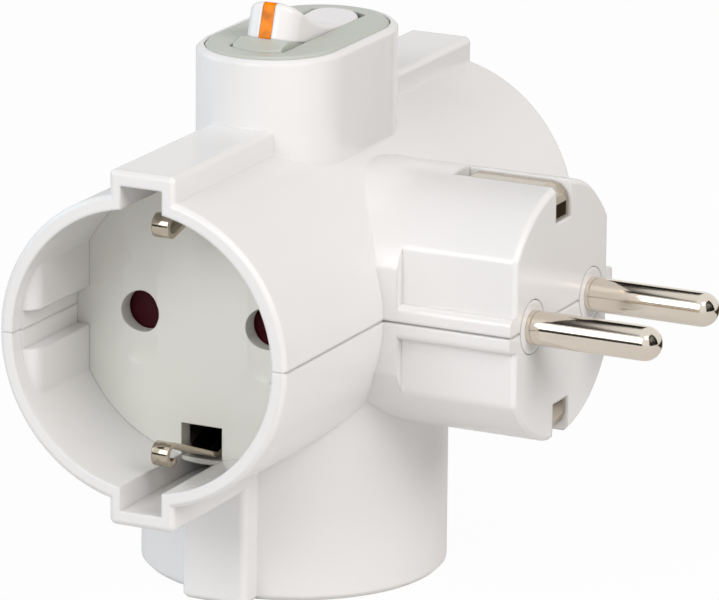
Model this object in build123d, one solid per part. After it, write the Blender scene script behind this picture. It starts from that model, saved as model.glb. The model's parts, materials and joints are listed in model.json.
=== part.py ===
from build123d import *
import os
from math import asin, cos, radians, sin, sqrt, tan

# Driving sizes, in millimetres and degrees. Everything is laid out about the point where the
# barrel axes and the plug axis cross. At the end it moves so that the origin is the centre of
# the plug's end face, between the pins.

# Mains fit
pin_dia = 4.8
pin_pitch = 19.0
pin_length = 19.0
well_dia = 39.0
well_depth = 17.5
hole_dia = 5.8

# Barrels
side_reach = 45.5
bottom_reach = 41.0
wall = 2.1
bottom_step = 0.2
ridge_width = 9.8
ridge_height = 5.1
ridge_round = 0.9
notch_width = 6.2
notch_depth = 3.0
rim_bevel = 0.6
guide_depth = 2.25
guide_setback = 2.0
guide_lead = 2.4
guide_slot = 5.4
slot_floor = 0.4
seam_width = 0.3
seam_depth = 0.3

# Plug
plug_reach = 40.6
plug_dia = 36.0
end_thick = 2.5
rib_inset = 1.6
rib_height = 4.8
rib_round = 1.0
root_round = 1.2
pocket_start = 23.6
pocket_depth = 1.5
grip_round = 1.8
groove_start = 25.2
groove_width = 5.0
groove_depth = 5.3
groove_sink = 0.6
pin_boss_dia = 7.4
holder_thick = 3.5
holder_height = 8.4
holder_round = 1.5
shank_step = 0.4
head_dia = 5.4
head_thick = 1.1

# Switch tower
tower_radius = 10.5
tower_half = 7.5
tower_top = 34.2
tower_wall = 1.2
bezel_depth = 2.2
bezel_proud = 0.3
bezel_bevel = 0.5
bore_step = 0.6
frame_drop = 12.2
frame_wall = 1.1
frame_tip = 0.6
base_drop = 20.0

# Socket insert
plate_thick = 2.5
plate_lip = 0.7
window_height = 4.7
shutter_thick = 1.6
shutter_radius = 13.2
shutter_half_angle = 21.5
hub_radius = 5.2
lug_size = 1.0
boss_radius = 2.0
sleeve_wall = 0.9
spring_room = 1.2
spring_wire = 0.6
cap_thick = 1.0
cap_width = 6.4

# Contacts
strip_thick = 0.8
leaf_thick = 0.6
leaf_grip = 0.15
leaf_flare = 0.6
bus_width = 6.0
strap_width = 4.6
strap_foot = 3.4
tail_width = 4.4
carrier_thick = 2.15
carrier_half = 9.0
clip_width = 5.0
clip_tip = 2.4
contact_depth = 6.3
contact_inset = 4.2
roll_radius = 0.7
strip_bend = 2.0
bridge_lug = 8.0

# Rocker
pivot_drop = 6.7
rest_tilt = 14.0
rocker_width = 7.6
rocker_half = 11.3
rocker_foot = 11.65
rocker_corner = 3.0
rocker_end = 10.7
rocker_dip = 2.6
rocker_round = 0.8
cap_bottom = 5.25
cap_roof = 1.1
skirt_depth = 1.2
hub_drop = 4.5
lens_width = 1.8
lens_thick = 1.2
lens_run = 3.6
trunnion_radius = 1.4
plunger_radius = 1.2
coil_wire = 0.3
seesaw_drop = 9.5
seesaw_tilt = 8.0
seesaw_tail = 4.2
riser_x = 3.2
lamp_radius = 1.5
lamp_y = -8.5
lead_wire = 0.5

# Clearances
seat_gap = 0.1
part_gap = 0.3
clip_gap = 0.6
rocker_gap = 0.4
turn_gap = 0.08

# Sizes that follow
well_radius = well_dia / 2
barrel_radius = well_radius + wall
bottom_radius = barrel_radius - bottom_step
ridge_top = well_radius + ridge_height
notch_top = well_radius + notch_depth
plate_radius = well_radius + plate_lip
seat_radius = plate_radius + seat_gap
window_mid = well_radius - (window_height + seat_gap) / 2
boss_length = part_gap + shutter_thick + part_gap + spring_room + cap_thick
plug_radius = plug_dia / 2
rib_half = plug_radius - rib_inset
flat_half = rib_half - pocket_depth
room_radius = plug_radius - wall
room_half = flat_half - wall
end_wall = plug_reach - end_thick
pin_radius = pin_dia / 2
pin_x = pin_pitch / 2
shank_radius = pin_radius - shank_step
pin_boss = pin_boss_dia / 2

strip_half = strip_thick / 2
jaw_inner = pin_radius - leaf_grip
jaw_mid = jaw_inner + leaf_thick / 2
spine_bottom = -jaw_inner - leaf_thick
carrier_low = spine_bottom - carrier_thick
strap_level = jaw_inner + leaf_thick + strip_half
strap_x = end_wall - holder_thick - seat_gap - strip_half
clip_bar = groove_start + 2.5 * strip_thick
plug_strip = plug_radius - groove_sink - strip_half
tail_level = room_radius - 2 * strip_thick
insert_depth = well_depth + plate_thick + boss_length + seat_gap + part_gap + strip_half
side_bar = side_reach - insert_depth
bottom_bar = bottom_reach - insert_depth
bottom_bend = well_radius - contact_inset + clip_gap
side_bend = min(bottom_bend, bottom_bar - strip_thick - clip_gap)

bezel_radius = tower_radius - tower_wall
bezel_seat = tower_top - bezel_depth
bezel_top = tower_top + bezel_proud
bore_radius = bezel_radius - bore_step
opening_half = rocker_width / 2 + rocker_gap
frame_half = opening_half + frame_wall
frame_radius = bore_radius - seat_gap
opening_radius = tower_half + frame_radius - frame_tip
frame_low = tower_top - frame_drop
base_low = tower_top - base_drop
base_floor = base_low + frame_wall
base_strip = base_floor + seat_gap + strip_half
pivot_height = tower_top - pivot_drop
seesaw_height = pivot_height - seesaw_drop
skirt_radius = opening_radius - rocker_gap
skirt_angle = asin((bezel_top - pivot_height) / skirt_radius) - radians(rest_tilt)
skirt_reach = skirt_radius * cos(skirt_angle)
skirt_level = skirt_radius * sin(skirt_angle)
plunger_top = plunger_radius - hub_drop - 2 * seat_gap
bearing_radius = trunnion_radius + turn_gap
lens_half = lens_width / 2
lamp_low = base_floor + 4 * lamp_radius
lamp_top = pivot_height - lamp_radius / 2
far = 2 * side_reach
LOW = (Align.CENTER, Align.CENTER, Align.MIN)


def block(x0, x1, y0, y1, z0, z1):
    """Box between two corners."""
    middle = Pos((x0 + x1) / 2, (y0 + y1) / 2, (z0 + z1) / 2)
    return middle * Box(x1 - x0, y1 - y0, z1 - z0)


def bar(half_x, half_y, z0, z1):
    """Box centred on the Z axis between two heights."""
    return block(-half_x, half_x, -half_y, half_y, z0, z1)


def post(radius, z0, z1, x=0, y=0):
    """Upright cylinder between two heights."""
    return Pos(x, y, z0) * Cylinder(radius, z1 - z0, align=LOW)


def rod(radius, x0, x1, y=0, z=0):
    """Cylinder along X between two stations."""
    return Pos(x0, y, z) * Rot(0, 90, 0) * Cylinder(radius, x1 - x0, align=LOW)


def oblong(radius, half, z0, z1):
    """Upright oblong with round ends along Y."""
    outline = SlotCenterToCenter(2 * half, 2 * radius, rotation=90)
    return Pos(0, 0, z0) * extrude(outline, z1 - z0)


def band(points, thickness):
    """Outline of a bent strip that follows the points, with mitred bends."""
    normals = []
    for (a, b), (c, d) in zip(points, points[1:]):
        run = Vector(c - a, d - b).normalized()
        normals.append(Vector(-run.Y, run.X))
    turns = [normals[0]]
    for before, after in zip(normals, normals[1:]):
        turns.append((before + after) * (1 / (1 + before.dot(after))))
    turns.append(normals[-1])
    half = thickness / 2
    left = [(x + n.X * half, y + n.Y * half) for (x, y), n in zip(points, turns)]
    right = [(x - n.X * half, y - n.Y * half) for (x, y), n in zip(points, turns)]
    return Polygon(*left, *reversed(right), align=None)


def strip_yz(points, thickness, width, x=0):
    """Bent strip drawn in YZ, as wide in X as stated."""
    return Pos(x, 0, 0) * extrude(Plane.YZ * band(points, thickness), width / 2, both=True)


def strip_xz(points, thickness, width, y=0):
    """Bent strip drawn in XZ, as wide in Y as stated."""
    return Pos(0, y, 0) * extrude(Plane.XZ * band(points, thickness), width / 2, both=True)


def wire(points, size):
    """Square wire along straight runs."""
    ends = [Vector(*p) for p in points]
    shape = None
    for start, stop in zip(ends, ends[1:]):
        run = stop - start
        piece = Plane(start, z_dir=run) * Pos(0, 0, run.length / 2) * Box(size, size, run.length + size)
        shape = piece if shape is None else shape + piece
    return shape


def mirror_pair(shape, plane):
    """The shape and its mirror image in one."""
    return shape + mirror(shape, about=plane)


# Each socket is drawn with its own +Z pointing out of the socket and its pin line on X
front = Plane((0, 0, 0), x_dir=(1, 0, 0), z_dir=(0, -1, 0))
back = Plane((0, 0, 0), x_dir=(-1, 0, 0), z_dir=(0, 1, 0))
bottom = Plane((0, 0, 0), x_dir=(1, 0, 0), z_dir=(0, 0, -1))
sockets = {"front": (front, side_reach), "back": (back, side_reach), "bottom": (bottom, bottom_reach)}
clip_bends = {"front": side_bend, "back": side_bend, "bottom": bottom_bend}


def barrel(radius, low, high, inset=0):
    """Outside of a barrel with its two earth ridges."""
    ridge = bar(ridge_width / 2 - inset, ridge_top - inset, low, high)
    ridge = fillet(ridge.edges().filter_by(Axis.Z), ridge_round - inset)
    body = post(radius - inset, low, high) + ridge
    if inset:
        return body
    ends = body.faces().filter_by(Axis.Z).sort_by(Axis.Z)
    rims = ends[-1].outer_wire().edges()
    if low < 0:
        rims += ends[0].outer_wire().edges()
    return chamfer(rims, rim_bevel)


def side_barrel(inset=0):
    """The barrel that runs from the front rim to the back rim."""
    return front * barrel(barrel_radius, -side_reach, side_reach, inset)


def well(reach):
    """Room inside a barrel: the well, its earth notches and the seat of the plate."""
    face = reach - well_depth
    open_end = reach + rim_bevel
    room = post(well_radius, 0, open_end)
    room += bar(notch_width / 2, notch_top, reach - insert_depth - 2 * strip_thick, open_end)
    return room + post(seat_radius, face - plate_thick, face)


def guides(reach):
    """Two guide blocks at the sides of a well, each with a slot and a rounded lead."""
    face = reach - well_depth
    inner = well_radius - guide_depth
    half = guide_slot / 2
    side = block(inner, barrel_radius, -well_radius, well_radius, face, reach - guide_setback)
    lead = side.edges().filter_by(Axis.Y).group_by(Axis.Z)[-1].sort_by(Axis.X)[0]
    side = fillet(lead, guide_lead)
    side &= post(well_radius + slot_floor, face, reach)
    side -= block(0, well_radius - slot_floor, -half, half, face - wall, reach)
    return mirror_pair(side, Plane.YZ)


def plug_section(radius, half, rounding):
    """Section of the plug: a round with two flats, drawn in YZ."""
    shape = Circle(radius) & Rectangle(2 * half, 3 * radius)
    return Plane.YZ * fillet(shape.vertices(), rounding)


def plug(inset=0):
    """Outside of the plug along +X, with a finger pocket at each side of its ribs."""
    radius = plug_radius - inset
    half = rib_half - inset
    lap = pocket_start - wall
    root = extrude(plug_section(radius, half, root_round), pocket_start)
    grip = extrude(plug_section(radius, flat_half - inset, grip_round), plug_reach - lap)
    grip = Pos(lap, 0, 0) * grip
    rib = Pos(lap, 0, 0) * Rot(0, 90, 0) * bar(rib_height / 2 - inset, half, 0, plug_reach - lap)
    if inset:
        return root + grip + rib
    end = grip.faces().sort_by(Axis.X)[-1]
    grip = chamfer(end.edges(), rim_bevel)
    rib = fillet(rib.edges().filter_by(Axis.X), rib_round)
    return root + grip + rib


def plug_room():
    """Room inside the plug, with its earth grooves and pin holes."""
    shape = Circle(room_radius) & Rectangle(2 * room_half, 3 * plug_radius)
    room = extrude(Plane.YZ * shape, end_wall)
    half = groove_width / 2
    open_end = plug_reach + wall
    groove = block(groove_start, open_end, -half, half, plug_radius - groove_depth, plug_radius + wall)
    room += mirror_pair(groove, Plane.XY)
    return room + mirror_pair(rod(pin_boss + seat_gap, end_wall - wall, open_end, y=pin_x), Plane.XZ)


def tower():
    """Oblong tower for the switch."""
    shape = oblong(tower_radius, tower_half, 0, tower_top)
    return chamfer(shape.faces().sort_by(Axis.Z)[-1].edges(), rim_bevel)


def tower_room():
    """Bore of the tower, open to the barrel's room, and the seat of the bezel."""
    seat = oblong(bezel_radius + seat_gap, tower_half, bezel_seat, tower_top + wall)
    return seat + oblong(bore_radius, tower_half, well_radius / 2, tower_top + wall)


def seam_rind():
    """Thin skin of the outside at the parting plane, cut away so that the seam shows."""
    skin = plug() + side_barrel()
    core = plug(seam_depth) + side_barrel(seam_depth)
    core &= block(-far, plug_reach - seam_depth, -side_reach, side_reach, -seam_width, seam_width)
    slab = bar(far, far, -seam_width / 2, seam_width / 2)
    return (skin & slab) - core


def carrier_rests():
    """Shelf in the barrel and rib in the plug that the contact carrier rests on."""
    shelf = block(
        -well_radius - wall / 2, contact_inset - well_radius, -clip_width, clip_width,
        carrier_low - strap_foot, carrier_low,
    )
    start = barrel_radius + part_gap
    rib = block(start, start + wall, -carrier_half, carrier_half, -plug_radius, carrier_low)
    rib &= rod(room_radius + part_gap, start, start + wall)
    slot = tail_width / 2 + clip_gap
    tail_top = strip_half + part_gap - tail_level
    return shelf + (rib - block(0, far, -slot, slot, -plug_radius, tail_top))


def housing():
    """Both housing halves."""
    body = plug() + tower() + side_barrel() + bottom * barrel(bottom_radius, 0, bottom_reach)
    room = plug_room() + tower_room()
    inner = None
    for plane, reach in sockets.values():
        room += plane * well(reach)
        pair = plane * guides(reach)
        inner = pair if inner is None else inner + pair
    # The bottom plate goes in from above, before the halves are joined
    room += post(seat_radius, well_depth - bottom_reach, 0)
    body -= room
    body += inner
    body -= seam_rind()
    upper = body & bar(far, far, 0, far)
    lower = (body & bar(far, far, -far, 0)) + carrier_rests()
    return upper, lower


def socket_plate(reach):
    """Face plate with pin holes, earth windows and the boss for the shutter."""
    face = reach - well_depth
    rear = face - plate_thick
    plate = post(plate_radius, rear, face)
    plate += post(boss_radius, rear - boss_length, rear)
    window = Box(notch_width, window_height, 3 * plate_thick)
    for side in (-1, 1):
        plate -= post(hole_dia / 2, rear - wall, face + wall, x=side * pin_x)
        plate -= Pos(0, side * window_mid, rear) * window
    return plate


def shutter(reach):
    """Rotary shutter with two blades and a lug for its spring."""
    high = reach - well_depth - plate_thick - part_gap
    low = high - shutter_thick
    run = 2 * shutter_radius
    rise = run * tan(radians(shutter_half_angle))
    blades = Polygon((0, 0), (run, -rise), (run, rise), align=None)
    blades += Polygon((0, 0), (-run, rise), (-run, -rise), align=None)
    outline = Circle(hub_radius) + (Circle(shutter_radius) & blades)
    outline -= Circle(boss_radius + turn_gap)
    shape = Pos(0, 0, low) * extrude(outline, shutter_thick)
    lug_low = low - spring_room + part_gap
    lug_end = hub_radius - seat_gap
    return shape + block(-lug_size / 2, lug_size / 2, lug_end - lug_size, lug_end, lug_low, high - lug_size)


sleeve_radius = boss_radius + sleeve_wall
lug_angle = -70
leg_angles = (102, -58)


def shutter_cap(reach):
    """Push-on cap with a sleeve for the spring."""
    high = reach - well_depth - plate_thick - 2 * part_gap - shutter_thick
    low = high - spring_room - cap_thick
    cap = post(sleeve_radius, low, high) + bar(cap_width / 2, hub_radius, low, low + cap_thick)
    lug_end = hub_radius - seat_gap
    half = lug_size / 2
    lug = block(lug_end - lug_size, lug_end, -half, half, low + cap_thick / 2, high - part_gap)
    cap += Rot(0, 0, lug_angle) * lug
    return cap - post(boss_radius + turn_gap / 2, low - wall, high + wall)


def shutter_spring(reach):
    """Spring round the cap's sleeve, one leg on the shutter's lug and one on the cap's."""
    mid = reach - well_depth - plate_thick - 2 * part_gap - shutter_thick - spring_room / 2
    inner = sleeve_radius + part_gap
    outer = inner + spring_wire
    reach_out = 2 * hub_radius
    ends = [(reach_out * cos(radians(angle)), reach_out * sin(radians(angle))) for angle in leg_angles]
    gap = Polygon((0, 0), ends[1], (reach_out, 0), (reach_out, reach_out), ends[0], align=None)
    ring = Circle(outer) - Circle(inner) - gap
    leg = Pos((inner + hub_radius) / 2, 0) * Rectangle(hub_radius - inner, spring_wire)
    for angle in leg_angles:
        ring += Rot(0, 0, angle) * leg
    return Pos(0, 0, mid - spring_wire / 2) * extrude(ring, spring_wire)


def earth_clip(reach, bend):
    """Earth strip: a bar behind the plate and a sprung leg with a rolled tip at each side."""
    face = reach - well_depth
    level = reach - insert_depth
    rear = face - plate_thick
    tip = reach - contact_depth
    roll_mid = well_radius - contact_inset
    turns = [radians(angle) for angle in range(-22, 240, 52)]
    roll = [(roll_mid - roll_radius * cos(turn), tip + roll_radius * sin(turn)) for turn in turns]
    window_out = window_mid + window_height / 2 - strip_thick
    leg = [(0, level), (bend, level), (window_mid, rear), (window_out, face + strip_thick)] + roll
    other = [(-y, z) for y, z in reversed(leg[1:])]
    clip = strip_yz(other + leg, strip_thick, clip_width)
    root = clip_width / 2 + seat_gap
    end = clip_tip / 2
    start = tip - contact_depth
    taper = Polygon((-root, 0), (root, 0), (root, start), (end, tip), (end, reach),
                    (-end, reach), (-end, tip), (-root, start), align=None)
    return clip & extrude(Plane.XZ * taper, far, both=True)


def bus(x):
    """Contact strip of one pole: jaws for the front, back and bottom sockets."""
    web = side_reach - well_depth - pin_length - wall / 2
    tip = side_reach - well_depth - plate_thick - holder_thick
    low = bottom_reach - well_depth - plate_thick - holder_thick
    pinch = jaw_mid - leaf_grip
    flare = jaw_mid + leaf_flare
    shape = strip_yz([(-web, -jaw_mid), (web, -jaw_mid)], leaf_thick, bus_width, x)
    for side in (-1, 1):
        for level in (-1, 1):
            leaf = [
                (side * (web - leaf_thick / 2), level * jaw_mid),
                (side * (web + tip) / 2, level * jaw_mid),
                (side * (tip - 4 * leaf_flare), level * pinch),
                (side * tip, level * flare),
            ]
            shape += strip_yz(leaf, leaf_thick, bus_width, x)
        shape += strip_yz([(side * web, -jaw_mid), (side * web, jaw_mid)], leaf_thick, bus_width, x)
        hanging = [
            (side * jaw_mid, -jaw_inner),
            (side * jaw_mid, -low * 2 / 3),
            (side * pinch, 4 * leaf_flare - low),
            (side * flare, -low),
        ]
        shape += strip_yz(hanging, leaf_thick, bus_width, x)
    return shape


def contact_carrier():
    """Insulating plate under the strips, with windows for the bottom jaws."""
    left = wall / 2 - well_radius
    plate = block(left, clip_bar - wall, -carrier_half, carrier_half, carrier_low, spine_bottom)
    window = bar(bus_width / 2 + part_gap, clip_gap - spine_bottom, 2 * carrier_low, 0)
    for side in (-1, 1):
        plate -= Pos(side * pin_x, 0, 0) * window
    return plate


def earth_bridge():
    """Strip bent into a U that joins the three earth clips."""
    half = side_bar - strip_thick
    base = strip_thick - bottom_bar
    path = [(-half, -bridge_lug), (-half, base), (half, base), (half, -bridge_lug)]
    return strip_yz(path, strip_thick, clip_width)


def plug_earth_clip():
    """Earth contacts in the plug's grooves with the tail to the bridge."""
    half = tail_width / 2
    out = plug_reach - strip_thick
    tip = plug_radius - groove_depth + part_gap
    turns = [radians(angle) for angle in (90, 60, 30, 0)]
    bend_x = out - strip_bend
    bend_z = plug_strip - strip_bend
    bend = [(bend_x + strip_bend * sin(turn), bend_z + strip_bend * cos(turn)) for turn in turns]
    shape = [(out, tip)] + bend + [(clip_bar, plug_strip)]
    clip = strip_xz(shape + [(x, -z) for x, z in reversed(shape)], strip_thick, tail_width)
    # The tail steps aside so that it passes the neutral jaw of the bottom socket
    near = pin_x + bus_width / 2 + strip_thick
    turn = near + tail_width
    level = 2 * strip_thick - bottom_bar
    path = [(clip_bar, -tail_level), (turn + 2 * strip_thick, -tail_level), (turn, level), (near, level)]
    side = jaw_mid + leaf_flare + leaf_thick + clip_gap
    low = level - strip_half
    high = level + strip_half
    tail = strip_xz(path, strip_thick, tail_width)
    tail += block(near, turn, -half, side + tail_width, low, high)
    tail += block(-half, turn, side, side + tail_width, low, high)
    return clip + tail


def pin_holder():
    """Holder behind the plug's end wall with a boss round each pin."""
    high = holder_height / 2
    half = room_half - seat_gap
    back_face = end_wall - holder_thick
    shape = block(back_face, end_wall - seat_gap / 2, -half, half, -high, high)
    shape = fillet(shape.edges().filter_by(Axis.X), holder_round)
    for side in (-1, 1):
        shape += rod(pin_boss, end_wall - wall / 2, plug_reach, y=side * pin_x)
    for side in (-1, 1):
        shape -= rod(shank_radius + turn_gap / 2, back_face - wall, plug_reach + wall, y=side * pin_x)
    return shape


def pin(side):
    """Round pin with a domed tip, a thinner shank and a riveted head."""
    y = side * pin_x
    tip = plug_reach + pin_length - pin_radius
    turns = [radians(angle) for angle in (0, 30, 60)]
    dome = [(tip + pin_radius * sin(turn), pin_radius * cos(turn)) for turn in turns]
    root = [(plug_reach, 0), (plug_reach, pin_radius)]
    outline = Polygon(*root, *dome, (plug_reach + pin_length, 0), align=None)
    outer = Pos(0, y, 0) * revolve(Plane.XZ * outline, Axis.X)
    head_front = strap_x - strip_half - seat_gap
    shank = rod(shank_radius, head_front - head_thick, plug_reach, y=y)
    return outer + shank + rod(head_dia / 2, head_front - head_thick, head_front, y=y)


def strap(points, y):
    """Strap that starts at a pin's head, with a hole for the pin's shank."""
    path = [(strap_x, -strap_foot), (strap_x, strap_level)] + points
    shape = strip_xz(path, strip_thick, strap_width, y)
    return shape - rod(shank_radius + turn_gap / 2, strap_x - wall, strap_x + wall, y=y)


def neutral_strap():
    """Strap from the neutral pin over the neutral strip to the lamp's resistor."""
    return strap([(riser_x - lamp_radius, strap_level)], pin_x)


def riser(x):
    """Run of a strip from a place near the contacts up to the switch base."""
    return [(x, base_low - strap_width), (riser_x if x > 0 else -riser_x, base_low - wall)]


def live_strap():
    """Strap from the live pin up to the fixed contact of the switch."""
    foot = pin_x + bus_width
    path = [(foot, strap_level)] + riser(foot) + [(riser_x, base_strip), (-tail_width / 2, base_strip)]
    return strap(path, -pin_x)


def centre_terminal():
    """Way from the live strip up to the seesaw, with the edge that it rocks on."""
    half = tail_width / 2
    level = seesaw_height - strip_thick - part_gap
    path = [(-pin_x, -jaw_inner)] + riser(-pin_x) + [(-riser_x, level), (half, level)]
    edge = rod(strip_half + seat_gap, -half, half, z=level + strip_half)
    return strip_xz(path, strip_thick, tail_width) + edge


def seesaw_contact():
    """Moving contact with a button, tilted onto the fixed contact."""
    button = strip_thick + seat_gap * 2
    half = tail_width / 2
    plate = block(-half, half, -pin_x - button, seesaw_tail, seat_gap, seat_gap + strip_thick)
    plate += post(button, -2 * seat_gap, strip_half, y=-pin_x)
    return Pos(0, 0, seesaw_height) * Rot(seesaw_tilt, 0, 0) * plate


def tower_fit(half, radius, z0, z1):
    """Upright block with flat sides whose ends follow the round of the tower."""
    return oblong(radius, tower_half, z0, z1) & bar(half, far, z0, z1)


def drum(half, radius):
    """Round about the rocker's axis, crowned so that its ends follow the round of the tower."""
    edge = tower_half + sqrt((radius - tower_half) ** 2 - half ** 2)
    sides = Polyline((half, edge), (half, 0), (-half, 0), (-half, edge))
    return revolve(make_face([sides, ThreePointArc((half, edge), (0, radius), (-half, edge))]), Axis.X)


def switch_base():
    """Cup under the bezel, with slots for the terminals."""
    cup = tower_fit(frame_half, frame_radius, base_low, frame_low)
    cup -= tower_fit(opening_half, frame_radius - frame_wall, base_floor, frame_low + wall)
    gap = strip_half + 2 * seat_gap
    tall = 2 * frame_wall
    cup -= Pos(riser_x, -pin_x, base_low) * bar(gap, strap_width / 2 + part_gap, -tall, tall)
    cup -= Pos(-riser_x, 0, base_low) * bar(gap, tail_width / 2 + part_gap, -tall, tall)
    return cup - Pos(riser_x, pin_x, base_low) * bar(lead_wire, lead_wire, -tall, tall)


def switch_bezel():
    """Frame in the tower's mouth with the rocker's bearings."""
    flange = oblong(bezel_radius, tower_half, bezel_seat, bezel_top)
    flange = chamfer(flange.faces().sort_by(Axis.Z)[-1].edges(), bezel_bevel)
    frame = flange + tower_fit(frame_half, frame_radius, frame_low, bezel_top - bezel_bevel)
    frame -= Pos(0, 0, pivot_height) * drum(opening_half, opening_radius)
    return frame - rod(bearing_radius, -tower_radius, tower_radius, z=pivot_height)


def place_rocker(shape):
    """Move a piece of the rocker from its pivot to the tilted place in the tower."""
    return Pos(0, 0, pivot_height) * Rot(-rest_tilt, 0, 0) * shape


def rocker_outside():
    """Rocker above its base: ends that lean in a little, round corners, dished top."""
    left = (-rocker_half, rocker_end)
    right = (rocker_half, rocker_end)
    with BuildPart() as body:
        with BuildSketch(Plane.YZ):
            with BuildLine():
                Polyline(left, (-rocker_foot, cap_bottom), (rocker_foot, cap_bottom), right)
                ThreePointArc(left, (0, rocker_end - rocker_dip), right)
            make_face()
        extrude(amount=rocker_width / 2, both=True)
        lines = body.edges().filter_by(GeomType.LINE)
        fillet(lines - lines.filter_by(Axis.X) - lines.filter_by(Axis.Y), rocker_corner)
        fillet(body.faces().sort_by(Axis.Z)[-1].edges(), rocker_round)
    return body.part


def lens_zone(half):
    """Room of the lens: up the raised end and a short way along the top."""
    low = rocker_end - rocker_dip + 2 * seat_gap
    high = 2 * rocker_end
    zone = block(-half, half, -tower_radius * 2, lens_thick - rocker_half, cap_bottom, high)
    return zone + block(-half, half, -tower_radius * 2, lens_run - rocker_half, low, high)


def rocker_cap():
    """White top of the rocker with the slot for the lens."""
    hollow = bar(lamp_radius + strip_thick, rocker_half - lens_thick, 0, rocker_end - rocker_dip - cap_roof)
    return rocker_outside() - hollow - lens_zone(lens_half + turn_gap / 2)


def rocker_lens():
    """Lens bar that fills the slot, flush with the rocker."""
    return rocker_outside() & lens_zone(lens_half)


def rocker_base():
    """Underside of the rocker: sloped skirts that fill the opening, trunnions and the plunger's bore."""
    half = rocker_width / 2 - seat_gap
    hub = 3 * plunger_radius
    low = skirt_level - skirt_depth
    # The slope of each skirt runs on past the drum that trims it
    slope = (skirt_reach - rocker_foot) / (cap_bottom - skirt_level)
    tip = rocker_foot + slope * (cap_bottom - low)
    right = [(rocker_foot, cap_bottom), (tip, low)]
    outline = Polygon(*right, *[(-y, z) for y, z in reversed(right)], align=None)
    base = extrude(Plane.YZ * outline, half, both=True) & drum(half, skirt_radius)
    base += bar(half, hub, -hub_drop, cap_bottom - skirt_depth / 2)
    base += rod(trunnion_radius, 2 * seat_gap - frame_half, frame_half - 2 * seat_gap)
    return base - post(plunger_radius + seat_gap, -hub_drop - wall, -clip_gap)


def plunger():
    """Sprung pin that presses on the seesaw."""
    tip = seesaw_drop - plunger_radius
    shape = post(plunger_radius, -tip, plunger_top)
    return chamfer(shape.faces().sort_by(Axis.Z)[0].edges(), plunger_radius * 0.6)


def plunger_spring():
    """Coil spring above the plunger."""
    radius = plunger_radius - coil_wire - coil_wire / 6
    pitch = 3 * coil_wire + seat_gap
    start = plunger_top + 1.5 * coil_wire + coil_wire / 6
    coil = Helix(pitch=pitch, height=2 * pitch, radius=radius, center=(0, 0, start))
    return sweep(Plane(coil @ 0, z_dir=coil % 0) * Rectangle(coil_wire, coil_wire), coil, is_frenet=True)


def neon_lamp():
    """Glass capsule under the lens with its two legs."""
    capsule = post(lamp_radius, lamp_low, lamp_top, y=lamp_y)
    capsule = chamfer(capsule.faces().sort_by(Axis.Z)[-1].edges(), lamp_radius / 2)
    # The left leg ends at the centre terminal, the right one at the resistor
    left_end = (-tail_width / 2 - strip_half, base_floor + strip_half)
    right_end = (pin_x - lead_wire, seesaw_height - lead_wire)
    for x, (y, z) in ((-riser_x - strip_half / 2, left_end), (riser_x, right_end)):
        root = lamp_radius / 2 if x > 0 else -lamp_radius / 2
        leg = [(root, lamp_y, lamp_low), (x, lamp_y, lamp_low - lead_wire), (x, lamp_y, z), (x, y, z)]
        capsule += wire(leg, lead_wire)
    return capsule


def lamp_resistor():
    """Resistor that stands between the lamp's leg and the neutral strap."""
    half = lead_wire / 2
    foot = strap_level + strip_half
    body = post(half + clip_width / 6, foot + wall, base_low - wall, x=riser_x, y=pin_x)
    return body + Pos(riser_x, pin_x, 0) * bar(half, half, foot, seesaw_height)


upper_housing, lower_housing = housing()
parts = {
    "upper_housing": upper_housing,
    "lower_housing": lower_housing,
    "live_bus": bus(-pin_x),
    "neutral_bus": bus(pin_x),
    "contact_carrier": contact_carrier(),
    "earth_bridge": earth_bridge(),
    "plug_earth_clip": plug_earth_clip(),
    "pin_holder": pin_holder(),
    "live_pin": pin(-1),
    "neutral_pin": pin(1),
    "live_strap": live_strap(),
    "neutral_strap": neutral_strap(),
    "centre_terminal": centre_terminal(),
    "seesaw_contact": seesaw_contact(),
    "switch_base": switch_base(),
    "switch_bezel": switch_bezel(),
    "rocker_base": place_rocker(rocker_base()),
    "rocker_cap": place_rocker(rocker_cap()),
    "rocker_lens": place_rocker(rocker_lens()),
    "plunger": place_rocker(plunger()),
    "plunger_spring": place_rocker(plunger_spring()),
    "neon_lamp": neon_lamp(),
    "lamp_resistor": lamp_resistor(),
}
for name, (plane, reach) in sockets.items():
    parts[name + "_socket_plate"] = plane * socket_plate(reach)
    parts[name + "_shutter"] = plane * shutter(reach)
    parts[name + "_shutter_cap"] = plane * shutter_cap(reach)
    parts[name + "_shutter_spring"] = plane * shutter_spring(reach)
    parts[name + "_earth_clip"] = plane * earth_clip(reach, clip_bends[name])

os.makedirs("parts", exist_ok=True)
for name, shape in parts.items():
    moved = Pos(-plug_reach, 0, 0) * shape
    export_step(moved, "parts/" + name + ".step")
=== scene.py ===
"""Looks of a switched three-way mains adapter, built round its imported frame."""
import json
import math

import bmesh
import bpy
from mathutils import Euler, Matrix, Vector


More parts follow.
